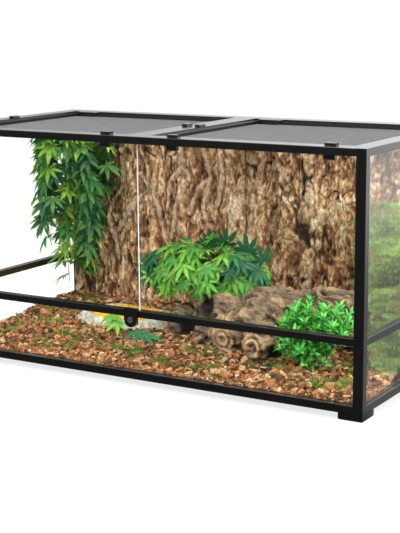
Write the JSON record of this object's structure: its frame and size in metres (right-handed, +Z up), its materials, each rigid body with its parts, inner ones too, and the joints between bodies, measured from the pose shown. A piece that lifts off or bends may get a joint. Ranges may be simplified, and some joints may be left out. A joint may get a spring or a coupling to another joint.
{
  "type": "terrarium cabinet",
  "caption": "Wide glass terrarium with a black frame, two sliding front doors with a key lock, a divided mesh top with latches, and planted fittings.",
  "frame": {"origin": "centre of the base, on the surface that the feet stand on", "axes": "+X to the viewer's right, +Y from the doors to the back, +Z up"},
  "size_m": [1.219, 0.6186, 0.6133],
  "materials": {
    "black_frame": "semi-gloss black",
    "glass": "clear float glass with polished edges",
    "screen_wire": "fine woven grey mesh",
    "key_metal": "satin nickel",
    "bark": "rough ridged tree bark",
    "bark_chips": "loose bark chips",
    "log_wood": "weathered grey-brown wood",
    "vine_leaf": "matt printed leaves",
    "bush_leaf": "matt printed leaves",
    "fern_leaf": "satin moulded leaves"
  },
  "bodies": {
    "root": {"foot_front_left": "black_frame", "lower_post_front_left": "black_frame", "upper_post_front_left": "black_frame", "top_corner_front_left": "black_frame", "foot_front_right": "black_frame", "lower_post_front_right": "black_frame", "upper_post_front_right": "black_frame", "top_corner_front_right": "black_frame", "foot_back_left": "black_frame", "lower_post_back_left": "black_frame", "upper_post_back_left": "black_frame", "top_corner_back_left": "black_frame", "foot_back_right": "black_frame", "lower_post_back_right": "black_frame", "upper_post_back_right": "black_frame", "top_corner_back_right": "black_frame", "bottom_rail_front": "black_frame", "bottom_rail_right": "black_frame", "bottom_rail_back": "black_frame", "bottom_rail_left": "black_frame", "mid_rail_front": "black_frame", "mid_rail_right": "black_frame", "mid_rail_left": "black_frame", "top_rail_front": "black_frame", "top_rail_right": "black_frame", "top_rail_back": "black_frame", "top_rail_left": "black_frame", "crossbar": "black_frame", "floor_panel": "black_frame", "lower_pane_front": "glass", "pane_back": "glass", "lower_pane_left": "glass", "upper_pane_left": "glass", "lower_pane_right": "glass", "upper_pane_right": "glass", "lock_body": "black_frame", "bark_background": "bark", "bedding": "bark_chips", "log": "log_wood", "vine": "vine_leaf", "bush": "bush_leaf", "fern": "fern_leaf"},
    "left_door": {"door_left": "glass"},
    "right_door": {"door_right": "glass"},
    "left_screen": {"screen_frame_left": "black_frame", "screen_mesh_left": "screen_wire"},
    "right_screen": {"screen_frame_right": "black_frame", "screen_mesh_right": "screen_wire"},
    "left_inlet": {"inlet_shutter_left": "black_frame"},
    "right_inlet": {"inlet_shutter_right": "black_frame"},
    "key_cylinder": {"lock_cylinder": "key_metal"},
    "bolt": {"lock_bolt": "key_metal"},
    "latch_front_1_body": {"latch_front_1": "black_frame"},
    "latch_front_2_body": {"latch_front_2": "black_frame"},
    "latch_front_3_body": {"latch_front_3": "black_frame"},
    "latch_front_4_body": {"latch_front_4": "black_frame"},
    "latch_side_left_body": {"latch_side_left": "black_frame"},
    "latch_bar_left_body": {"latch_bar_left": "black_frame"},
    "latch_bar_right_body": {"latch_bar_right": "black_frame"},
    "latch_side_right_body": {"latch_side_right": "black_frame"}
  },
  "joints": [
    {"name": "left_door_slide", "type": "slide", "parent": "root", "child": "left_door", "axis": [1, 0, 0], "range_m": [0, 0.565]},
    {"name": "right_door_slide", "type": "slide", "parent": "root", "child": "right_door", "axis": [-1, 0, 0], "range_m": [0, 0.565]},
    {"name": "left_screen_lift", "type": "slide", "parent": "root", "child": "left_screen", "axis": [0, 0, 1], "range_m": [0, 0.12]},
    {"name": "right_screen_lift", "type": "slide", "parent": "root", "child": "right_screen", "axis": [0, 0, 1], "range_m": [0, 0.12]},
    {"name": "left_inlet_slide", "type": "slide", "parent": "left_screen", "child": "left_inlet", "axis": [1, 0, 0], "range_m": [0, 0.05]},
    {"name": "right_inlet_slide", "type": "slide", "parent": "right_screen", "child": "right_inlet", "axis": [1, 0, 0], "range_m": [0, 0.05]},
    {"name": "key_turn", "type": "hinge", "parent": "root", "child": "key_cylinder", "pos_m": [0, -0.305, 0.165], "axis": [0, 1, 0], "range_deg": [-90, 0]},
    {"name": "bolt_drop", "type": "slide", "parent": "root", "child": "bolt", "axis": [0, 0, -1], "range_m": [-0.0032, 0]},
    {"name": "latch_front_1_slide", "type": "slide", "parent": "root", "child": "latch_front_1_body", "axis": [0, -1, 0], "range_m": [-0.01, 0]},
    {"name": "latch_front_2_slide", "type": "slide", "parent": "root", "child": "latch_front_2_body", "axis": [0, -1, 0], "range_m": [-0.01, 0]},
    {"name": "latch_front_3_slide", "type": "slide", "parent": "root", "child": "latch_front_3_body", "axis": [0, -1, 0], "range_m": [-0.01, 0]},
    {"name": "latch_front_4_slide", "type": "slide", "parent": "root", "child": "latch_front_4_body", "axis": [0, -1, 0], "range_m": [-0.01, 0]},
    {"name": "latch_side_left_slide", "type": "slide", "parent": "root", "child": "latch_side_left_body", "axis": [-1, 0, 0], "range_m": [-0.01, 0]},
    {"name": "latch_bar_left_slide", "type": "slide", "parent": "root", "child": "latch_bar_left_body", "axis": [1, 0, 0], "range_m": [-0.01, 0]},
    {"name": "latch_bar_right_slide", "type": "slide", "parent": "root", "child": "latch_bar_right_body", "axis": [-1, 0, 0], "range_m": [-0.01, 0]},
    {"name": "latch_side_right_slide", "type": "slide", "parent": "root", "child": "latch_side_right_body", "axis": [1, 0, 0], "range_m": [-0.01, 0]}
  ],
  "couplings": [
    {"joint": "bolt_drop", "follows": "key_turn", "m_per_rad": 0.0020372}
  ]
}
